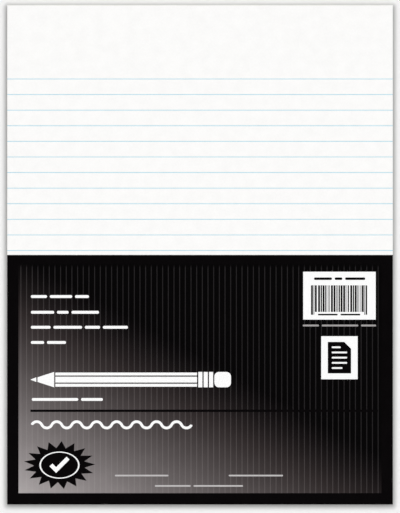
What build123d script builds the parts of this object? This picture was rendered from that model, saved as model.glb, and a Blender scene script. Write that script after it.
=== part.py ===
from build123d import *
import os

# A letter-size gummed writing pad, lying on its back, in millimetres. Ruled
# sheets are stacked on a chipboard back and held along the top edge by a
# brushed film of padding gum. A printed half-sheet label lies over the lower
# half of the front. The origin is the middle of the back's underside: X runs
# across the page, Y up the page to the gummed edge and Z out of the front.

# Trimmed size that the sheets and the back share
sheet_width = 215.9
sheet_length = 279.4

# Block of sheets: one thickness is a sheet with the air that lies under it
sheet_count = 50
sheet_thickness = 0.08

# Gap that opens between neighbouring sheets at their three free edges
edge_gap_share = 0.3
edge_gap_depth = 0.2

# Chipboard back, its free edges rounded where the trimming knife leaves them
board_thickness = 0.6
board_edge_radius = 0.15

# Film of gum on the top edge
gum_film = 0.3
gum_edge_radius = 0.2

# Half-sheet label, trimmed to the pad's width
label_length = 139.7
label_thickness = 0.2

# Heights and edges that the pieces share
block_height = sheet_count * sheet_thickness
block_middle = board_thickness + block_height / 2
pad_top = board_thickness + block_height
spine_edge = sheet_length / 2
foot_edge = -sheet_length / 2
gap_count = sheet_count - 1
edge_gap = edge_gap_share * sheet_thickness

# The block seen from the foot of the page, and seen from its right side
across_page = Plane(origin=(0, 0, block_middle), x_dir=(1, 0, 0), z_dir=(0, -1, 0))
along_page = Plane(origin=(0, 0, block_middle), x_dir=(0, 1, 0), z_dir=(1, 0, 0))

# Backing board
with BuildPart() as backing_board:
    with BuildSketch():
        Rectangle(sheet_width, sheet_length)
    extrude(amount=board_thickness)
    back_face = backing_board.faces().sort_by(Axis.Z)[0]
    free_edges = back_face.edges().sort_by(Axis.Y)[:-1]
    fillet(free_edges, radius=board_edge_radius)
backing_board.part.label = "backing_board"

# Sheets: a profile with a comb of gaps down both sides, kept only where it
# meets a second profile that has the same comb at the foot and a plain spine
with BuildPart() as paper_block:
    with BuildSketch(across_page):
        Rectangle(sheet_width, block_height)
        with GridLocations(sheet_width, sheet_thickness, 2, gap_count):
            Rectangle(2 * edge_gap_depth, edge_gap, mode=Mode.SUBTRACT)
    extrude(amount=sheet_length / 2, both=True)
    with BuildSketch(along_page):
        Rectangle(sheet_length, block_height)
        with Locations((foot_edge, 0)):
            with GridLocations(sheet_length, sheet_thickness, 1, gap_count):
                Rectangle(2 * edge_gap_depth, edge_gap, mode=Mode.SUBTRACT)
    extrude(amount=sheet_width / 2, both=True, mode=Mode.INTERSECT)
paper_block.part.label = "paper_block"

# Gum: an even film along the spine, over the sheets and the board, that rounds
# off along the front and along the back
with BuildPart() as gum_binding:
    with BuildSketch(Plane.YZ) as gum_section:
        with Locations((spine_edge, 0)):
            Rectangle(gum_film, pad_top, align=(Align.MIN, Align.MIN))
        outer_corners = gum_section.vertices().sort_by(Axis.X)[-2:]
        fillet(outer_corners, radius=gum_edge_radius)
    extrude(amount=sheet_width / 2, both=True)
gum_binding.part.label = "gum_binding"

# Label, flush with the pad's foot and sides
with BuildPart() as label_sheet:
    with BuildSketch(Plane.XY.offset(pad_top)):
        with Locations((0, foot_edge)):
            Rectangle(sheet_width, label_length, align=(Align.CENTER, Align.MIN))
    extrude(amount=label_thickness)
label_sheet.part.label = "label_sheet"

os.makedirs("parts", exist_ok=True)
export_step(backing_board.part, "parts/backing_board.step")
export_step(paper_block.part, "parts/paper_block.step")
export_step(gum_binding.part, "parts/gum_binding.step")
export_step(label_sheet.part, "parts/label_sheet.step")
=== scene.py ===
import math
import random

import bmesh
import bpy
from mathutils import Matrix, Vector, noise


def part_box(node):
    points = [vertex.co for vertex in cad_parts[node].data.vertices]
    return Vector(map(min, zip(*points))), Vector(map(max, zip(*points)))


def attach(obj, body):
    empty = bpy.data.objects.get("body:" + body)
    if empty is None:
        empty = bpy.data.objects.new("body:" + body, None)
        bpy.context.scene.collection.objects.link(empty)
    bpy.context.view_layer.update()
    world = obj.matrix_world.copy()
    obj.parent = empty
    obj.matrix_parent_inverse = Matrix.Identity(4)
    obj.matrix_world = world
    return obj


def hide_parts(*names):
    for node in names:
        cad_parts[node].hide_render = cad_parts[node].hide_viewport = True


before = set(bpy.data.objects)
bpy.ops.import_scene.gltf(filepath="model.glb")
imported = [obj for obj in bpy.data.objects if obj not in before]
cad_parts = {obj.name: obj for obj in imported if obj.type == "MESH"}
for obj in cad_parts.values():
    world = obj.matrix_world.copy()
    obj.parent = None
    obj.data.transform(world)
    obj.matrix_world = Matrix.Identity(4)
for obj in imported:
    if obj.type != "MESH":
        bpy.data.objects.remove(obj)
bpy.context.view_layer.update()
bpy.context.scene.view_settings.view_transform = "Standard"

mm = 0.001  # the frame is in metres, most sizes below are written in millimetres

blockLow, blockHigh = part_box("paper_block")
gumLow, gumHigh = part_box("gum_binding")
labelLow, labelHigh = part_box("label_sheet")
print("frame loaded:", ", ".join(sorted(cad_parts)))


# mesh helpers

meshRules = {
    "straight": 0.99,     # share of its length that an edge has along the axis it runs with
    "upward": 0.5,        # a face whose normal rises less than this is a side
    "cornerSteps": 6,     # segments of a rounded corner
}


def addSlab(bm, low, high):
    # a closed slab between two corners
    low = Vector(low)
    high = Vector(high)
    place = Matrix.Translation((low + high) / 2) @ Matrix.Diagonal((*(high - low), 1))
    return bmesh.ops.create_cube(bm, size=1, matrix=place)["verts"]


def runsAlong(edge, axis):
    step = edge.verts[1].co - edge.verts[0].co
    return abs(step[axis]) > meshRules["straight"] * step.length


def uprightsOf(verts):
    # the upright edges at these vertices
    around = {edge for vert in verts for edge in vert.link_edges}
    return [edge for edge in around if runsAlong(edge, 2)]


def bevelEdges(bm, edges, offset, segments):
    bmesh.ops.bevel(bm, geom=edges, offset=offset, offset_type="OFFSET", affect="EDGES",
                    segments=segments, profile=0.5, material=-1)


def roundCorners(bm, verts, radius):
    bevelEdges(bm, uprightsOf(verts), radius, meshRules["cornerSteps"])


def thicken(bm, faces, depth):
    # turns flat faces into closed plates that stand up by depth
    grown = bmesh.ops.extrude_face_region(bm, geom=faces)["geom"]
    raised = [part for part in grown if isinstance(part, bmesh.types.BMVert)]
    bmesh.ops.translate(bm, verts=raised, vec=(0, 0, depth))
    bmesh.ops.recalc_face_normals(bm, faces=bm.faces[:])


def paintSides(bm, number):
    # gives the faces that don't look up another of the piece's materials
    bm.normal_update()
    for face in bm.faces:
        if face.normal.z < meshRules["upward"]:
            face.material_index = number


def finishPiece(bm, name, slot, *materials):
    mesh = bpy.data.meshes.new(name)
    bm.to_mesh(mesh)
    bm.free()
    for material in materials:
        mesh.materials.append(material)
    piece = bpy.data.objects.new(name, mesh)
    bpy.context.scene.collection.objects.link(piece)
    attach(piece, "root")
    return piece


# shader helpers

def setSockets(tree, node, sockets):
    # sockets maps an input's name or number to a value or to an output to link
    for key, value in sockets.items():
        if isinstance(value, bpy.types.NodeSocket):
            tree.links.new(value, node.inputs[key])
        else:
            node.inputs[key].default_value = value
    return node


def addNode(tree, kind, sockets=None, **settings):
    node = tree.nodes.new("ShaderNode" + kind)
    for key, value in settings.items():
        setattr(node, key, value)
    return setSockets(tree, node, sockets or {})


def newMaterial(name, **plain):
    # a Principled shader with its plain values set on its own sockets
    material = bpy.data.materials.new(name)
    material.use_nodes = True
    tree = material.node_tree
    tree.nodes.clear()
    shader = addNode(tree, "BsdfPrincipled")
    addNode(tree, "OutputMaterial", {"Surface": shader.outputs["BSDF"]})
    for key, value in plain.items():
        shader.inputs[key.replace("_", " ")].default_value = value
    place = addNode(tree, "TexCoord").outputs["Object"]
    return material, tree, shader, place


def newGroup(name, inputs, outputs):
    # inputs and outputs map a socket's name to its type
    group = bpy.data.node_groups.new(name, "ShaderNodeTree")
    for way, sockets in (("INPUT", inputs), ("OUTPUT", outputs)):
        for label, kind in sockets.items():
            group.interface.new_socket(label, in_out=way, socket_type="NodeSocket" + kind)
    enter = group.nodes.new("NodeGroupInput")
    leave = group.nodes.new("NodeGroupOutput")
    return group, enter.outputs, leave.inputs


def useGroup(tree, group, sockets):
    node = tree.nodes.new("ShaderNodeGroup")
    node.node_tree = group
    return setSockets(tree, node, sockets).outputs


def mixColours(tree, share, first, second):
    # inputs 6 and 7 are the node's colours, and output 2 the mixed one
    node = addNode(tree, "Mix", data_type="RGBA")
    return setSockets(tree, node, {0: share, 6: first, 7: second}).outputs[2]


def compute(tree, operation, *values):
    return addNode(tree, "Math", dict(enumerate(values)), operation=operation).outputs[0]


def vectorMath(tree, operation, *values):
    return addNode(tree, "VectorMath", dict(enumerate(values)), operation=operation).outputs


def average(tree, first, second):
    return compute(tree, "MULTIPLY", compute(tree, "ADD", first, second), 0.5)


def mapRange(tree, value, fromMin, fromMax, toMin=0.0, toMax=1.0):
    sockets = {"Value": value, "From Min": fromMin, "From Max": fromMax, "To Min": toMin, "To Max": toMax}
    return addNode(tree, "MapRange", sockets).outputs["Result"]


def colourByTone(tree, tone, toneRange, first, second):
    # goes from the first colour to the second as the tone crosses its range
    return mixColours(tree, mapRange(tree, tone, *toneRange), first, second)


def noiseAt(tree, place, scale, detail, stretch=None):
    # stretch scales the place first, so a low share along an axis draws the grain out
    if stretch:
        place = addNode(tree, "Mapping", {"Vector": place, "Scale": stretch}).outputs["Vector"]
    return addNode(tree, "TexNoise", {"Vector": place, "Scale": scale, "Detail": detail}).outputs["Fac"]


def addBump(tree, shader, height, distance, strength):
    bump = addNode(tree, "Bump", {"Height": height, "Distance": distance, "Strength": strength})
    tree.links.new(bump.outputs["Normal"], shader.inputs["Normal"])


# colours are written in screen levels, 0 to 255, and turned to linear light

screenCurve = {
    "white": 255,
    "power": 2.4,
    "offset": 0.055,
    "toeEnd": 0.04045,    # share of white up to which the curve is a straight line
    "toeSlope": 12.92,
}


def linear(red, green, blue):
    curve = screenCurve

    def part(level):
        share = level / curve["white"]
        if share < curve["toeEnd"]:
            return share / curve["toeSlope"]
        return ((share + curve["offset"]) / (1 + curve["offset"])) ** curve["power"]

    return (part(red), part(green), part(blue), 1)


def toLight(tree, share):
    # the same curve in nodes, for a share of white, without its straight toe
    raised = compute(tree, "ADD", share, screenCurve["offset"])
    scaled = compute(tree, "DIVIDE", raised, 1 + screenCurve["offset"])
    return compute(tree, "POWER", scaled, screenCurve["power"])


# shared effects; the grain of a noise is in features to the metre

fibreGrain = {"cloudDetail": 3.0, "fleckDetail": 5.0}


def makeFibreGroup():
    # felted fibres: a soft cloud and a fine fleck make the tone, the fleck alone the height
    group, enter, leave = newGroup(
        "paperFibre",
        {"Position": "Vector", "Cloud": "Float", "Fleck": "Float"},
        {"Tone": "Float", "Height": "Float"},
    )
    cloud = noiseAt(group, enter["Position"], enter["Cloud"], fibreGrain["cloudDetail"])
    fleck = noiseAt(group, enter["Position"], enter["Fleck"], fibreGrain["fleckDetail"])
    group.links.new(average(group, cloud, fleck), leave["Tone"])
    group.links.new(fleck, leave["Height"])
    return group


coatGrain = {
    "mottle": 140.0,
    "mottleDetail": 4.0,
    "mottleRange": (0.3, 0.7),    # mottle over which gloss and ink change
    "tooth": 2600.0,
    "toothDetail": 2.0,
}


def makeCoatGroup():
    # a coated sheet under print: slow changes of gloss and a fine tooth
    group, enter, leave = newGroup(
        "coatedSheet",
        {"Position": "Vector", "Glossy": "Float", "Matte": "Float"},
        {"Roughness": "Float", "Mottle": "Float", "Height": "Float"},
    )
    mottle = noiseAt(group, enter["Position"], coatGrain["mottle"], coatGrain["mottleDetail"])
    tooth = noiseAt(group, enter["Position"], coatGrain["tooth"], coatGrain["toothDetail"])
    rough = mapRange(group, mottle, *coatGrain["mottleRange"], enter["Glossy"], enter["Matte"])
    group.links.new(rough, leave["Roughness"])
    group.links.new(mottle, leave["Mottle"])
    group.links.new(tooth, leave["Height"])
    return group


groundLevels = {               # in screen levels
    "corner": 176.2,           # grey at the label's lower left corner
    "fallAcross": 0.682,       # lost for each mm to the right
    "fallUp": 1.231,           # lost for each mm up
    "liftFadesAt": 198.0,      # where a stripe no longer shows
    "warmInBlack": 2.0,        # how far red stands over green
    "warmInGrey": 6.0,
    "coolInBlack": 1.0,        # how far blue stands over green
    "greyFrom": 40.0,          # where the ground takes on the tint of grey
}
liftFall = 1.5                 # over 1, a stripe fades sooner as the ground gets paler


def makeGroundGroup():
    # the label's ground: grey at the lower left that falls to black, with a lift for the stripes
    tone = {key: level / screenCurve["white"] for key, level in groundLevels.items()}
    acrossRate = tone["fallAcross"] / mm
    upRate = tone["fallUp"] / mm
    atOrigin = tone["corner"] + acrossRate * labelLow.x + upRate * labelLow.y
    group, enter, leave = newGroup(
        "screenedGround",
        {"Position": "Vector", "Lift": "Float"},
        {"Color": "Color"},
    )
    slope = vectorMath(group, "DOT_PRODUCT", enter["Position"], (-acrossRate, -upRate, 0))["Value"]
    level = compute(group, "MAXIMUM", compute(group, "ADD", slope, atOrigin), 0.0)
    darkness = mapRange(group, level, 0.0, tone["liftFadesAt"], 1.0, 0.0)
    fade = compute(group, "POWER", darkness, liftFall)
    lifted = compute(group, "MULTIPLY_ADD", fade, enter["Lift"], level)
    warmth = mapRange(group, level, 0.0, tone["greyFrom"], tone["warmInBlack"], tone["warmInGrey"])
    coolness = mapRange(group, level, 0.0, tone["greyFrom"], tone["coolInBlack"], 0.0)
    red = toLight(group, compute(group, "ADD", lifted, warmth))
    green = toLight(group, lifted)
    blue = toLight(group, compute(group, "ADD", lifted, coolness))
    colour = addNode(group, "CombineColor", {0: red, 1: green, 2: blue})
    group.links.new(colour.outputs[0], leave["Color"])
    return group


fibreGroup = makeFibreGroup()
coatGroup = makeCoatGroup()
groundGroup = makeGroundGroup()


# page: rules from edge to edge, down the whole sheet

pageRule = {
    "first": 41.2 * mm,    # below the top edge
    "pitch": 8.731 * mm,
    "width": 0.35 * mm,
    "ink": 0.02 * mm,      # height of a rule over the page
}
ruleCount = 1 + int((blockHigh.y - blockLow.y - pageRule["first"]) / pageRule["pitch"])


# paper, gum and board

def useFibre(tree, place, look):
    return useGroup(tree, fibreGroup, {"Position": place, "Cloud": look["cloud"], "Fleck": look["fleck"]})


paperLook = {
    "light": linear(252.4, 251.8, 250.6),
    "dark": linear(248, 247.4, 246.2),
    "cloud": 170.0,
    "fleck": 900.0,
    "toneRange": (0.36, 0.64),    # fibre tone that goes from dark to light
    "roughness": (0.8, 0.98),
    "specular": 0.2,
    "bumpHeight": 0.01 * mm,
    "bumpStrength": 0.6,
}


def makePaper():
    look = paperLook
    material, tree, shader, place = newMaterial("bondPaper", Specular_IOR_Level=look["specular"])
    fibre = useFibre(tree, place, look)
    colour = colourByTone(tree, fibre["Tone"], look["toneRange"], look["dark"], look["light"])
    tree.links.new(colour, shader.inputs["Base Color"])
    rough = mapRange(tree, fibre["Height"], 0.0, 1.0, *look["roughness"])
    tree.links.new(rough, shader.inputs["Roughness"])
    addBump(tree, shader, fibre["Height"], look["bumpHeight"], look["bumpStrength"])
    return material


ruleLook = {
    "full": linear(148, 203, 223),
    "thin": linear(174, 219, 234),
    "cloud": 300.0,
    "fleck": 2400.0,
    "toneRange": (0.35, 0.65),
    "roughness": 0.85,
    "specular": 0.2,
}


def makeRuleInk():
    # thin ink that the fibres break up
    look = ruleLook
    material, tree, shader, place = newMaterial("ruleInk", Specular_IOR_Level=look["specular"],
                                                Roughness=look["roughness"])
    fibre = useFibre(tree, place, look)
    colour = colourByTone(tree, fibre["Tone"], look["toneRange"], look["full"], look["thin"])
    tree.links.new(colour, shader.inputs["Base Color"])
    return material


edgeLook = {
    "light": linear(250, 250, 247),
    "dark": linear(226, 225, 220),
    "cloud": 120.0,
    "fleck": 3000.0,
    "knife": 1400.0,
    "knifeDetail": 3.0,
    "knifeStretch": (1, 1, 0.04),   # knife marks run down through the stack
    "toneRange": (0.35, 0.62),
    "tick": linear(196, 219, 225),
    "tickWidth": 0.5 * mm,
    "tickShare": 0.5,
    "roughness": 0.9,
    "specular": 0.2,
    "bumpHeight": 0.03 * mm,
    "bumpStrength": 0.5,
}


def makeCutEdges():
    # trimmed sheet edges: knife marks, and a faint tick where each rule runs off the sheet
    look = edgeLook
    material, tree, shader, place = newMaterial("cutSheetEdges", Specular_IOR_Level=look["specular"],
                                                Roughness=look["roughness"])
    knife = noiseAt(tree, place, look["knife"], look["knifeDetail"], look["knifeStretch"])
    tone = average(tree, knife, useFibre(tree, place, look)["Tone"])
    plain = colourByTone(tree, tone, look["toneRange"], look["dark"], look["light"])
    along = addNode(tree, "SeparateXYZ", {0: place}).outputs["Y"]
    fromRule = compute(tree, "SUBTRACT", along, blockHigh.y - pageRule["first"])
    toRule = compute(tree, "PINGPONG", fromRule, pageRule["pitch"] / 2)
    share = mapRange(tree, toRule, 0.0, look["tickWidth"], look["tickShare"], 0.0)
    tree.links.new(mixColours(tree, share, plain, look["tick"]), shader.inputs["Base Color"])
    addBump(tree, shader, tone, look["bumpHeight"], look["bumpStrength"])
    return material


gumLook = {
    "thick": linear(243, 242, 236),
    "thin": linear(222, 218, 204),
    "streak": 2200.0,
    "streakDetail": 4.0,
    "streakStretch": (0.04, 1, 1),   # the brush was drawn along the spine
    "cloud": 130.0,
    "cloudDetail": 3.0,
    "toneRange": (0.35, 0.62),
    "glossRange": (0.3, 0.7),        # tone over which the roughness changes
    "roughness": (0.36, 0.55),
    "specular": 0.4,
    "bumpHeight": 0.08 * mm,
    "bumpStrength": 0.8,
}


def makeGumMaterial():
    # dried white compound, a little yellower where the brush left it thin
    look = gumLook
    material, tree, shader, place = newMaterial("paddingGum", Specular_IOR_Level=look["specular"])
    streak = noiseAt(tree, place, look["streak"], look["streakDetail"], look["streakStretch"])
    cloud = noiseAt(tree, place, look["cloud"], look["cloudDetail"])
    tone = average(tree, streak, cloud)
    colour = colourByTone(tree, tone, look["toneRange"], look["thin"], look["thick"])
    tree.links.new(colour, shader.inputs["Base Color"])
    rough = mapRange(tree, tone, *look["glossRange"], *look["roughness"])
    tree.links.new(rough, shader.inputs["Roughness"])
    addBump(tree, shader, streak, look["bumpHeight"], look["bumpStrength"])
    return material


boardLook = {
    "light": linear(170, 161, 146),
    "dark": linear(148, 139, 124),
    "cloud": 110.0,
    "fleck": 1900.0,
    "toneRange": (0.36, 0.64),
    "darkFleck": linear(104, 96, 86),
    "paleFleck": linear(200, 194, 183),
    "speck": 3200.0,
    "speckDetail": 2.0,
    "darkRange": (0.66, 0.74),      # noise over which a speck comes up
    "darkShare": 0.8,
    "paleRange": (0.34, 0.26),      # pale specks lie in the noise's hollows
    "paleShare": 0.6,
    "hair": 2600.0,
    "hairDetail": 1.0,
    "hairStretch": (1, 0.22, 1),    # the board's grain runs up the page
    "hairRange": (0.68, 0.76),
    "hairShare": 0.5,
    "glossRange": (0.3, 0.7),
    "roughness": (0.78, 0.95),
    "specular": 0.2,
    "bumpHeight": 0.04 * mm,
    "bumpStrength": 0.7,
}


def addSpecks(tree, under, grain, grainRange, share, colour):
    return mixColours(tree, mapRange(tree, grain, *grainRange, 0.0, share), under, colour)


def makeChipboard():
    # recycled board: cloudy grey-brown pulp, fine dark and pale specks, and hairs along the grain
    look = boardLook
    material, tree, shader, place = newMaterial("chipboard", Specular_IOR_Level=look["specular"])
    fibre = useFibre(tree, place, look)
    speck = noiseAt(tree, place, look["speck"], look["speckDetail"])
    hair = noiseAt(tree, place, look["hair"], look["hairDetail"], look["hairStretch"])
    pulp = colourByTone(tree, fibre["Tone"], look["toneRange"], look["dark"], look["light"])
    darkened = addSpecks(tree, pulp, speck, look["darkRange"], look["darkShare"], look["darkFleck"])
    paled = addSpecks(tree, darkened, speck, look["paleRange"], look["paleShare"], look["paleFleck"])
    colour = addSpecks(tree, paled, hair, look["hairRange"], look["hairShare"], look["darkFleck"])
    tree.links.new(colour, shader.inputs["Base Color"])
    rough = mapRange(tree, fibre["Height"], *look["glossRange"], *look["roughness"])
    tree.links.new(rough, shader.inputs["Roughness"])
    addBump(tree, shader, fibre["Height"], look["bumpHeight"], look["bumpStrength"])
    return material


bondPaper = makePaper()
ruleInk = makeRuleInk()
cutSheetEdges = makeCutEdges()
paddingGum = makeGumMaterial()
chipboard = makeChipboard()


# print on the coated label; all its places are in mm from the label's lower left corner

labelPanel = {"left": 6.35, "low": 6.35, "right": 209.55, "high": 134.5}

stripes = {
    "count": 64,
    "first": 7.69,     # middle of the first
    "pitch": 3.174,
    "width": 0.5,
    "lift": 0.138,     # how far a stripe stands out of black, as a share of white
    "fadeIn": 2.0,     # length over which they come up below the panel's upper edge
}

printLook = {
    "glossy": 0.185,              # roughness where the coat is smoothest
    "matte": 0.2,
    "specular": 0.22,
    "toothHeight": 0.004 * mm,
    "toothStrength": 0.4,
    "groundRange": (0.97, 1.03),  # by how much the mottle darkens and lightens the ground
}

inkColours = {                    # dense and thin places of each print colour
    "blackInk": (linear(5.6, 3.7, 4.7), linear(6.6, 4.5, 5.5)),
    "whiteInk": (linear(254, 254, 254), linear(252, 252, 252)),
    "greyInk": (linear(168, 164, 164), linear(158, 154, 154)),
    "paleInk": (linear(196, 193, 193), linear(186, 183, 183)),
    "labelCore": (linear(244, 243, 239), linear(232, 231, 226)),
}


def newPrint(name):
    # the coated sheet that every print colour shares
    look = printLook
    material, tree, shader, place = newMaterial(name, Specular_IOR_Level=look["specular"])
    coat = useGroup(tree, coatGroup, {"Position": place, "Glossy": look["glossy"], "Matte": look["matte"]})
    tree.links.new(coat["Roughness"], shader.inputs["Roughness"])
    addBump(tree, shader, coat["Height"], look["toothHeight"], look["toothStrength"])
    return material, tree, shader, place, coat["Mottle"]


def makeInk(name):
    # one print colour, a little uneven
    material, tree, shader, _, mottle = newPrint(name)
    colour = colourByTone(tree, mottle, coatGrain["mottleRange"], *inkColours[name])
    tree.links.new(colour, shader.inputs["Base Color"])
    return material


def makeGround(name, lift):
    # the panel's ground, or with a lift the stripes on it, which fade in below its upper edge
    material, tree, shader, place, mottle = newPrint(name)
    sockets = {"Position": place}
    if lift:
        panelTop = labelLow.y + labelPanel["high"] * mm
        along = addNode(tree, "SeparateXYZ", {0: place}).outputs["Y"]
        sockets["Lift"] = mapRange(tree, along, panelTop - stripes["fadeIn"] * mm, panelTop, lift, 0.0)
    ground = useGroup(tree, groundGroup, sockets)["Color"]
    share = mapRange(tree, mottle, *coatGrain["mottleRange"], *printLook["groundRange"])
    uneven = addNode(tree, "VectorMath", {0: ground, "Scale": share}, operation="SCALE")
    tree.links.new(uneven.outputs["Vector"], shader.inputs["Base Color"])
    return material


blackInk = makeInk("blackInk")
whiteInk = makeInk("whiteInk")
greyInk = makeInk("greyInk")
paleInk = makeInk("paleInk")
labelCore = makeInk("labelCore")
panelGround = makeGround("panelGround", 0.0)
stripeGround = makeGround("stripeGround", stripes["lift"])
print("materials made")


# stack of sheets

pages = {
    "count": 50,
    "airShare": 0.2,         # of a sheet's pitch, left open under it
    "sideStray": 0.07 * mm,  # how far a sheet's cut edge may stand back
    "footStray": 0.1 * mm,
    "seed": 11,
}


def makePages():
    # the top sheet is a piece of its own, so that its grain isn't shared out among the rest
    draw = random.Random(pages["seed"])
    pitch = (blockHigh.z - pageRule["ink"] - blockLow.z) / pages["count"]
    lower = bmesh.new()
    upper = bmesh.new()
    for sheet in range(pages["count"]):
        top = blockLow.z + pitch * (sheet + 1)
        bottom = top - pitch * (1 - pages["airShare"])
        left = blockLow.x + draw.random() * pages["sideStray"]
        right = blockHigh.x - draw.random() * pages["sideStray"]
        foot = blockLow.y + draw.random() * pages["footStray"]
        bm = upper if sheet == pages["count"] - 1 else lower
        addSlab(bm, (left, foot, bottom), (right, blockHigh.y, top))
    for bm, name in ((lower, "sheet_stack"), (upper, "top_sheet")):
        paintSides(bm, 1)
        piece = finishPiece(bm, name, "ruled_paper", bondPaper, cutSheetEdges)
        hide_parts("paper_block")
    return left, right  # of the top sheet, which was drawn last


def makeRules(left, right):
    bm = bmesh.new()
    bottom = blockHigh.z - pageRule["ink"]
    for row in range(ruleCount):
        middle = blockHigh.y - pageRule["first"] - pageRule["pitch"] * row
        low = middle - pageRule["width"] / 2
        addSlab(bm, (left, low, bottom), (right, low + pageRule["width"], blockHigh.z))
    finishPiece(bm, "page_rules", "ruled_paper", ruleInk)


topSheetSides = makePages()
makeRules(*topSheetSides)
print("sheets stacked:", pages["count"], "rules:", ruleCount)


# gum along the spine, drawn on with a brush

gumFilm = {
    "stepsAcross": 216,
    "stepsUp": 26,
    "edgeRadius": 0.2 * mm,
    "thinShare": 0.4,              # of the film, left in the deepest streak
    "streak": (40, 0, 1700),       # streaks to the metre along X and Z
    "ripple": (380, 0, 2600),
    "rippleShare": 0.4,            # how strong a ripple is beside a streak
    "plainShare": 0.55,            # from the thin film to the full one, where no streak runs
    "streakShare": 0.8,            # how far a streak goes either way from there
    "smoothFacing": 0.3,           # faces that look out of the spine more than this are smooth
    "creaseAngle": math.radians(50),
}


def gumDepth(across, up):
    # film thickness at a point of the spine
    film = gumFilm
    radius = film["edgeRadius"]
    toEdge = min(up - gumLow.z, gumHigh.z - up, radius)
    depth = gumHigh.y - gumLow.y - radius + math.sqrt(radius ** 2 - (radius - toEdge) ** 2)
    point = Vector((across, 0, up))
    streak = noise.noise(point * Vector(film["streak"]))
    streak += film["rippleShare"] * noise.noise(point * Vector(film["ripple"]))
    share = max(0.0, min(1.0, film["plainShare"] + film["streakShare"] * streak))
    return depth * (film["thinShare"] + (1 - film["thinShare"]) * share)


def makeGum():
    bm = bmesh.new()
    addSlab(bm, gumLow, gumHigh)
    for axis, steps in ((0, gumFilm["stepsAcross"]), (2, gumFilm["stepsUp"])):
        edges = [edge for edge in bm.edges if runsAlong(edge, axis)]
        bmesh.ops.subdivide_edges(bm, edges=edges, cuts=steps - 1, use_grid_fill=True)
    middle = (gumLow.y + gumHigh.y) / 2
    outer = [vert for vert in bm.verts if vert.co.y > middle]
    for vert in outer:
        vert.co.y = gumLow.y + gumDepth(vert.co.x, vert.co.z)
    bm.normal_update()
    for face in bm.faces:
        face.smooth = face.normal.y > gumFilm["smoothFacing"]
    for edge in bm.edges:
        edge.smooth = edge.calc_face_angle(0.0) < gumFilm["creaseAngle"]
    piece = finishPiece(bm, "gum_film", "padding_gum", paddingGum)
    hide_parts("gum_binding")


makeGum()
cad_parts["backing_board"].data.materials.clear()
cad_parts["backing_board"].data.materials.append(chipboard)
print("gum brushed on, board dressed")


# label: each colour is a thin plate of ink, in layers that count up from the bare sheet

inkLayers = {"ink": 0.02 * mm, "count": 5}
bareLayer, panelLayer, stripeLayer, printLayer, markLayer, topLayer = range(inkLayers["count"] + 1)


def layerTop(layer):
    return labelHigh.z - (inkLayers["count"] - layer) * inkLayers["ink"]


def onLabel(across, up, height):
    return (labelLow.x + across * mm, labelLow.y + up * mm, height)


def addPlate(bm, left, low, right, high, layer, under=panelLayer, roundShare=0.0):
    # a plate of ink; roundShare is its corner radius over its height
    verts = addSlab(bm, onLabel(left, low, layerTop(under)), onLabel(right, high, layerTop(layer)))
    if roundShare:
        roundCorners(bm, verts, roundShare * (high - low) * mm)
    return verts


def addField(bm, field, layer, under=panelLayer):
    # a plate whose four sides are in a dictionary
    return addPlate(bm, field["left"], field["low"], field["right"], field["high"], layer, under)


labelSheet = {"edgeRadius": 0.03 * mm, "edgeSteps": 3}


def makeLabel():
    bm = bmesh.new()
    top = layerTop(bareLayer)
    middle = (labelLow.z + top) / 2
    addSlab(bm, labelLow, (labelHigh.x, labelHigh.y, top))
    upper = [edge for edge in bm.edges if min(vert.co.z for vert in edge.verts) > middle]
    bevelEdges(bm, upper, labelSheet["edgeRadius"], labelSheet["edgeSteps"])
    paintSides(bm, 1)
    piece = finishPiece(bm, "label_sheet_printed", "printed_label", blackInk, labelCore)
    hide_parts("label_sheet")


def makePanel():
    bm = bmesh.new()
    addField(bm, labelPanel, panelLayer, bareLayer)
    finishPiece(bm, "label_panel", "printed_label", panelGround)


def makeStripes():
    bm = bmesh.new()
    for number in range(stripes["count"]):
        left = stripes["first"] + stripes["pitch"] * number - stripes["width"] / 2
        addPlate(bm, left, labelPanel["low"], left + stripes["width"], labelPanel["high"], stripeLayer)
    finishPiece(bm, "label_stripes", "printed_label", stripeGround)


makeLabel()
makePanel()
makeStripes()
print("label laid, stripes:", stripes["count"])


# black rule and a pointed seal, with a white ring and a tick in the seal

divider = {"left": 13.06, "low": 51.8, "right": 207.6, "high": 53.1}

seal = {
    "centre": (29.3, 22.06),
    "halfWidth": 20.0,
    "halfHeight": 13.5,
    "points": 17,
    "turn": math.radians(-3.5),
    "innerShare": 0.71,            # where the notches lie between the middle and the points
    "ringShares": (0.52, 0.56),    # the ring's two edges
    "ringSteps": 72,
    "tickLong": 10.6,
    "tickShort": 5.2,
    "tickStroke": 2.3,
    "tickTurn": math.radians(45),
    "tickFoot": (-1.9, -4.4),      # from the seal's middle to the tick's lowest point
}


def turnFlat(bm, verts, angle):
    bmesh.ops.rotate(bm, verts=verts, cent=(0, 0, 0), matrix=Matrix.Rotation(angle, 3, "Z"))


def toSeal(bm, verts, layer):
    # stretches what was made about the origin to the seal's oval, and sets it in place
    bmesh.ops.scale(bm, verts=verts, vec=(seal["halfWidth"] * mm, seal["halfHeight"] * mm, 1))
    bmesh.ops.translate(bm, verts=verts, vec=onLabel(*seal["centre"], layerTop(layer)))


def makeBlackPrint():
    bm = bmesh.new()
    star = bmesh.ops.create_circle(bm, cap_ends=True, radius=1, segments=2 * seal["points"])["verts"]
    bmesh.ops.scale(bm, verts=star[1::2], vec=(seal["innerShare"],) * 3)
    turnFlat(bm, star, seal["turn"])
    toSeal(bm, star, panelLayer)
    thicken(bm, bm.faces[:], layerTop(printLayer) - layerTop(panelLayer))
    addField(bm, divider, printLayer)
    finishPiece(bm, "label_black_print", "printed_label", blackInk)


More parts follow.
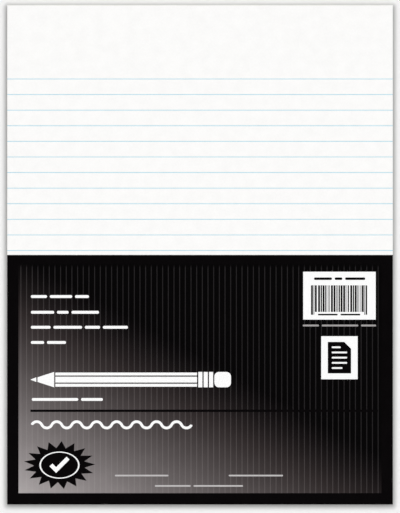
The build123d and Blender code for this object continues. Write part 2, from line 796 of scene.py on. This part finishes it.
def addTick(bm):
    # an L that is turned to stand on its corner
    long, short, stroke = (seal[key] * mm for key in ("tickLong", "tickShort", "tickStroke"))
    outline = ((0, 0), (long, 0), (long, stroke), (stroke, stroke), (stroke, short), (0, short))
    verts = [bm.verts.new((*point, 0)) for point in outline]
    face = bm.faces.new(verts)
    turnFlat(bm, verts, seal["tickTurn"])
    foot = [middle + step for middle, step in zip(seal["centre"], seal["tickFoot"])]
    bmesh.ops.translate(bm, verts=verts, vec=onLabel(*foot, layerTop(printLayer)))
    thicken(bm, [face], layerTop(markLayer) - layerTop(printLayer))


def makeSealMarks():
    bm = bmesh.new()
    inner, outer = seal["ringShares"]
    rise = layerTop(markLayer) - layerTop(printLayer)
    corners = ((inner, 0, 0), (outer, 0, 0), (outer, 0, rise), (inner, 0, rise))
    section = [bm.verts.new(corner) for corner in corners]
    outline = [bm.edges.new((section[side - 1], section[side])) for side in range(len(section))]
    bmesh.ops.spin(bm, geom=section + outline, cent=(0, 0, 0), axis=(0, 0, 1), angle=math.tau,
                   steps=seal["ringSteps"], use_merge=True)
    bmesh.ops.recalc_face_normals(bm, faces=bm.faces[:])
    toSeal(bm, bm.verts[:], printLayer)
    addTick(bm)
    finishPiece(bm, "label_seal_marks", "printed_label", whiteInk)


makeBlackPrint()
makeSealMarks()
print("seal points:", seal["points"])


# a pencil that points left, and the wave that it draws

pencil = {
    "tip": 13.3,           # along the label, from the point to the end
    "lead": 17.0,
    "wood": 27.0,
    "body": 107.0,
    "ferrule": 116.0,
    "end": 125.3,
    "middle": 69.9,
    "height": 8.6,
    "facetShares": (0.27, 0.46, 0.27),
    "gap": 0.7,
    "ferruleRings": 3,
    "leadShare": 0.3,      # of the height, where the lead leaves the wood
    "tipShare": 0.12,      # of the lead's height, left at its point
    "endRoundShare": 0.3,
}

wave = {
    "left": 13.8,
    "right": 103.2,
    "middle": 44.6,
    "stroke": 1.5,
    "arcs": 16,
    "turn": math.radians(130),
    "steps": 9,
    "endRound": 0.5,       # corner radius at the two ends, shorter than a step
}


def taperLeft(bm, verts, share):
    # narrows a plate's left end about the pencil's middle
    across = [vert.co.x for vert in verts]
    halfway = (min(across) + max(across)) / 2
    ends = [vert for vert in verts if vert.co.x < halfway]
    middle = labelLow.y + pencil["middle"] * mm
    bmesh.ops.scale(bm, verts=ends, vec=(1, share, 1), space=Matrix.Translation((0, -middle, 0)))


def makePencil():
    bm = bmesh.new()
    part = pencil
    gap = part["gap"]
    low = part["middle"] - part["height"] / 2
    high = part["middle"] + part["height"] / 2
    leadHalf = part["height"] * part["leadShare"] / 2
    lead = addPlate(bm, part["tip"], part["middle"] - leadHalf, part["lead"] - gap,
                    part["middle"] + leadHalf, printLayer)
    taperLeft(bm, lead, part["tipShare"])
    wood = addPlate(bm, part["lead"], low, part["wood"] - gap, high, printLayer)
    taperLeft(bm, wood, part["leadShare"])
    foot = low
    for share in part["facetShares"]:
        top = foot + share * part["height"]
        addPlate(bm, part["wood"], foot + gap / 2, part["body"] - gap, top - gap / 2, printLayer)
        foot = top
    ringPitch = (part["ferrule"] - part["body"]) / part["ferruleRings"]
    for ring in range(part["ferruleRings"]):
        left = part["body"] + ringPitch * ring
        addPlate(bm, left, low, left + ringPitch - gap, high, printLayer)
    addPlate(bm, part["ferrule"], low, part["end"], high, printLayer, roundShare=part["endRoundShare"])
    finishPiece(bm, "label_pencil", "printed_label", whiteInk)


def makeWave():
    # arcs that bend to and fro, each spun from where the one before it ends
    bm = bmesh.new()
    floor = layerTop(panelLayer)
    chord = (wave["right"] - wave["left"]) / wave["arcs"]
    half = wave["turn"] / 2
    radius = chord / 2 / math.sin(half)
    rise = radius * math.cos(half)
    centre = Vector(onLabel(wave["left"] + chord / 2, wave["middle"] - rise, floor))
    outward = Vector((-math.sin(half), math.cos(half), 0))
    rims = (radius - wave["stroke"] / 2, radius + wave["stroke"] / 2)
    ends = [bm.verts.new(centre + outward * rim * mm) for rim in rims]
    front = [*ends, bm.edges.new(ends)]
    for arc in range(wave["arcs"]):
        side = 1 if arc % 2 == 0 else -1
        centre = onLabel(wave["left"] + chord * (arc + 0.5), wave["middle"] - side * rise, floor)
        front = bmesh.ops.spin(bm, geom=front, cent=centre, axis=(0, 0, 1), angle=-side * wave["turn"],
                               steps=wave["steps"])["geom_last"]
    thicken(bm, bm.faces[:], layerTop(printLayer) - floor)
    ends += [part for part in front if isinstance(part, bmesh.types.BMVert)]
    roundCorners(bm, ends, wave["endRound"] * mm)
    finishPiece(bm, "label_wave", "printed_label", whiteInk)


makePencil()
makeWave()
print("pencil and wave printed")


# plain fields and bars

whitePanel = {"left": 165.7, "low": 103.5, "right": 206.3, "high": 130.3}
whitePlate = {"left": 175.8, "low": 70.1, "right": 196.2, "high": 94.2}

# rows of bars: middle height, bar height, left end, then bar lengths with one gap between them
barRows = {
    "gap": 1.6,
    "roundShare": 0.45,
    "white": [
        (116.4, 1.6, 13.3, (9.0, 12.5, 7.8)),
        (107.6, 1.6, 13.3, (13.0, 6.5, 15.4)),
        (99.2, 1.6, 13.3, (11.0, 16.0, 8.5, 14.0)),
        (90.7, 1.6, 13.3, (7.4, 10.6)),
        (58.8, 1.6, 13.8, (26.0, 12.2)),
    ],
    "grey": [
        (100.2, 1.0, 165.5, (9.0, 20.4, 8.4)),
    ],
    "pale": [
        (16.2, 0.9, 60.3, (30.0,)),
        (16.2, 0.9, 124.0, (30.4,)),
        (10.4, 0.9, 82.7, (20.0, 27.7)),
    ],
    "black": [
        (126.4, 1.4, 171.8, (10.0, 4.2, 11.2)),
        (106.3, 0.9, 174.0, (11.0, 11.0)),
    ],
}


def addBarRow(bm, middle, height, left, lengths, layer, under):
    low = middle - height / 2
    for length in lengths:
        addPlate(bm, left, low, left + length, low + height, layer, under, barRows["roundShare"])
        left += length + barRows["gap"]


def makeBars(colour, material):
    bm = bmesh.new()
    for row in barRows[colour]:
        addBarRow(bm, *row, printLayer, panelLayer)
    finishPiece(bm, "label_" + colour + "_bars", "printed_label", material)


def makeWhiteFields():
    bm = bmesh.new()
    for field in (whitePanel, whitePlate):
        addField(bm, field, printLayer)
    finishPiece(bm, "label_white_fields", "printed_label", whiteInk)


makeWhiteFields()
for colour, material in (("white", whiteInk), ("grey", greyInk), ("pale", paleInk)):
    makeBars(colour, material)
print("white fields and bars printed")


# marks on the white fields: a row of upright bars that stand for nothing, and a page with a cut corner

uprights = {
    "left": 170.1,
    "right": 201.5,
    "low": 107.8,
    "high": 122.7,
    "longLow": 106.2,      # foot of the long bars
    "longCount": 2,        # long bars at each end
    "module": 0.36,
    "widths": (1, 2, 3, 3),
    "gaps": (1, 1, 1, 2),
    "seed": 23,
}

pageMark = {
    "left": 179.5,
    "low": 73.4,
    "right": 192.5,
    "high": 91.0,
    "cutCorner": 3.8,
    "lineHeight": 0.95,
    "lineLengths": (5.0, 8.6, 8.6, 8.6, 6.0),
    "firstLine": 3.0,      # below the page's upper edge
    "linePitch": 2.9,
    "margin": 2.2,
}


def uprightSpans():
    draw = random.Random(uprights["seed"])
    left = uprights["left"]
    spans = []
    while left < uprights["right"]:
        right = min(left + draw.choice(uprights["widths"]) * uprights["module"], uprights["right"])
        spans.append((left, right))
        left = right + draw.choice(uprights["gaps"]) * uprights["module"]
    return spans


def makeBlackMarks():
    bm = bmesh.new()
    spans = uprightSpans()
    for number, (left, right) in enumerate(spans):
        fromEnd = min(number, len(spans) - 1 - number)
        low = uprights["longLow"] if fromEnd < uprights["longCount"] else uprights["low"]
        addPlate(bm, left, low, right, uprights["high"], markLayer, printLayer)
    for row in barRows["black"]:
        addBarRow(bm, *row, markLayer, printLayer)
    page = addField(bm, pageMark, markLayer, printLayer)
    corner = max(uprightsOf(page), key=lambda edge: edge.verts[0].co.x + edge.verts[0].co.y)
    bevelEdges(bm, [corner], pageMark["cutCorner"] * mm, 1)
    finishPiece(bm, "label_black_marks", "printed_label", blackInk)


def makePageLines():
    bm = bmesh.new()
    mark = pageMark
    left = mark["left"] + mark["margin"]
    for row, length in enumerate(mark["lineLengths"]):
        middle = mark["high"] - mark["firstLine"] - mark["linePitch"] * row
        addBarRow(bm, middle, mark["lineHeight"], left, (length,), topLayer, markLayer)
    finishPiece(bm, "label_page_lines", "printed_label", whiteInk)


makeBlackMarks()
makePageLines()
print("marks printed")


# stage and light

floorLook = {
    "reach": 6.0,                              # metres of floor round the pad
    "seat": 0.2 * mm,                          # how far it runs in under the pad's edges
    "colour": linear(243, 242.8, 242.8),       # a little under the paper, so that the page stands out
    # shade, shadeReach, shadeShift and shadeFall paint a contact shade into the floor's colour round the
    # pad
    "shade": linear(175, 175, 175),
    "shadeReach": 3.5 * mm,                    # how far the painted contact shade runs out from the pad
    # moves the painted shade's middle down the page, so that it reaches farther at the foot than at the top
    "shadeShift": (0.05 * mm, -0.75 * mm, 0),
    "shadeFall": 1.3,                          # over 1, the painted shade gathers close to the pad
    "roughness": 0.9,
}
padMiddle = (blockLow + blockHigh) / 2
padHalf = (blockHigh - blockLow) / 2


def makeFloorMaterial():
    # plain pale floor, with a narrow shade painted into its colour where it meets the pad
    look = floorLook
    material, tree, shader, place = newMaterial("studioFloor", Roughness=look["roughness"],
                                                Specular_IOR_Level=0.0)
    middle = padMiddle + Vector(look["shadeShift"])
    edge = (padHalf.x, padHalf.y, blockHigh.z)   # high enough to leave only the way along the floor
    apart = vectorMath(tree, "ABSOLUTE", vectorMath(tree, "SUBTRACT", place, middle)[0])[0]
    outside = vectorMath(tree, "MAXIMUM", vectorMath(tree, "SUBTRACT", apart, edge)[0], (0, 0, 0))[0]
    away = vectorMath(tree, "LENGTH", outside)["Value"]
    # painted shade: darkest at the pad's edge, gone at shadeReach
    near = mapRange(tree, away, 0.0, look["shadeReach"], 1.0, 0.0)
    share = compute(tree, "POWER", near, look["shadeFall"])
    tree.links.new(mixColours(tree, share, look["colour"], look["shade"]), shader.inputs["Base Color"])
    return material


def makeFloor():
    # the floor is open under the pad, so that the back can be seen from below
    bm = bmesh.new()
    reach = floorLook["reach"]
    bmesh.ops.create_grid(bm, x_segments=1, y_segments=1, size=1)
    bmesh.ops.scale(bm, verts=bm.verts[:], vec=(padHalf.x + reach, padHalf.y + reach, 1))
    inner = bm.faces[:]
    bmesh.ops.inset_individual(bm, faces=inner, thickness=reach + floorLook["seat"], use_even_offset=True)
    bmesh.ops.delete(bm, geom=inner, context="FACES_ONLY")
    mesh = bpy.data.meshes.new("floor")
    bm.to_mesh(mesh)
    bm.free()
    mesh.materials.append(makeFloorMaterial())
    floor = bpy.data.objects.new("floor", mesh)
    bpy.context.scene.collection.objects.link(floor)


lampRing = {
    "count": 8,
    "tilt": math.radians(35),       # off the vertical
    "softness": math.radians(28),   # across each lamp
    "level": 0.515,                 # light that the ring adds on a level surface; the fill adds the rest
    "leanUp": 0.35,                 # share by which the lamps above the page are stronger
    "leanRight": 0.2,
}


def makeLamps():
    ring = lampRing
    tilt = ring["tilt"]
    each = math.pi * ring["level"] / math.cos(tilt) / ring["count"]
    for number in range(ring["count"]):
        turn = math.tau * (number + 0.5) / ring["count"]
        lamp = bpy.data.lights.new("ringLamp", "SUN")
        lamp.angle = ring["softness"]
        lamp.energy = each * (1 + ring["leanUp"] * math.sin(turn) + ring["leanRight"] * math.cos(turn))
        towards = Vector((math.sin(tilt) * math.cos(turn), math.sin(tilt) * math.sin(turn), math.cos(tilt)))
        holder = bpy.data.objects.new("ringLamp", lamp)
        holder.rotation_mode = "QUATERNION"
        holder.rotation_quaternion = towards.to_track_quat("Z", "Y")
        bpy.context.scene.collection.objects.link(holder)


worldLook = {
    "fill": 0.5,         # even light from all round, which the camera and gloss don't see
    "wall": 0.907,       # pale wall behind the floor, as light as the floor renders
    "ceiling": 0.03,
    "wallTop": 0.12,     # height of the wall's upper edge, as a sine
    "wallFade": 0.3,     # height at which the wall has become the ceiling
}


def makeWorld():
    look = worldLook
    world = bpy.data.worlds.new("studio")
    bpy.context.scene.world = world
    world.use_nodes = True
    tree = world.node_tree
    tree.nodes.clear()
    direction = addNode(tree, "TexCoord").outputs["Generated"]
    height = addNode(tree, "SeparateXYZ", {0: direction}).outputs["Z"]
    heights = {"Value": height, "From Min": look["wallTop"], "From Max": look["wallFade"],
               "To Min": look["wall"], "To Max": look["ceiling"]}
    wall = addNode(tree, "MapRange", heights, interpolation_type="SMOOTHSTEP").outputs["Result"]
    path = addNode(tree, "LightPath").outputs
    seen = compute(tree, "MAXIMUM", path["Is Camera Ray"], path["Is Glossy Ray"])
    seen = compute(tree, "MAXIMUM", seen, path["Is Transmission Ray"])
    strength = addNode(tree, "Mix", {0: seen, 2: look["fill"], 3: wall}).outputs[0]  # 2 and 3 are numbers
    back = addNode(tree, "Background", {"Color": (1, 1, 1, 1), "Strength": strength})
    addNode(tree, "OutputWorld", {"Surface": back.outputs[0]})


makeFloor()
makeLamps()
makeWorld()
print("floor, lamps and world set")


# camera, straight above the page

photoFrame = {
    "height": 513,         # pixels
    "padTop": 5.35,        # pixel rows of the pad's two ends
    "padFoot": 504.5,
    "lens": 160.0,
    "sensor": 36.0,
    "nearest": 0.05,       # metres that the camera sees from and to
    "farthest": 50.0,
}


def makeCamera():
    view = photoFrame
    pixel = (blockHigh.y - blockLow.y) / (view["padFoot"] - view["padTop"])
    below = view["height"] / 2 - (view["padTop"] + view["padFoot"]) / 2
    away = view["height"] * pixel * view["lens"] / view["sensor"]
    data = bpy.data.cameras.new("camera")
    data.lens = view["lens"]
    data.sensor_width = view["sensor"]
    data.clip_start = view["nearest"]
    data.clip_end = view["farthest"]
    camera = bpy.data.objects.new("camera", data)
    camera.location = (0, -below * pixel, labelHigh.z + away)
    bpy.context.scene.collection.objects.link(camera)
    bpy.context.scene.camera = camera


makeCamera()
print("camera set")
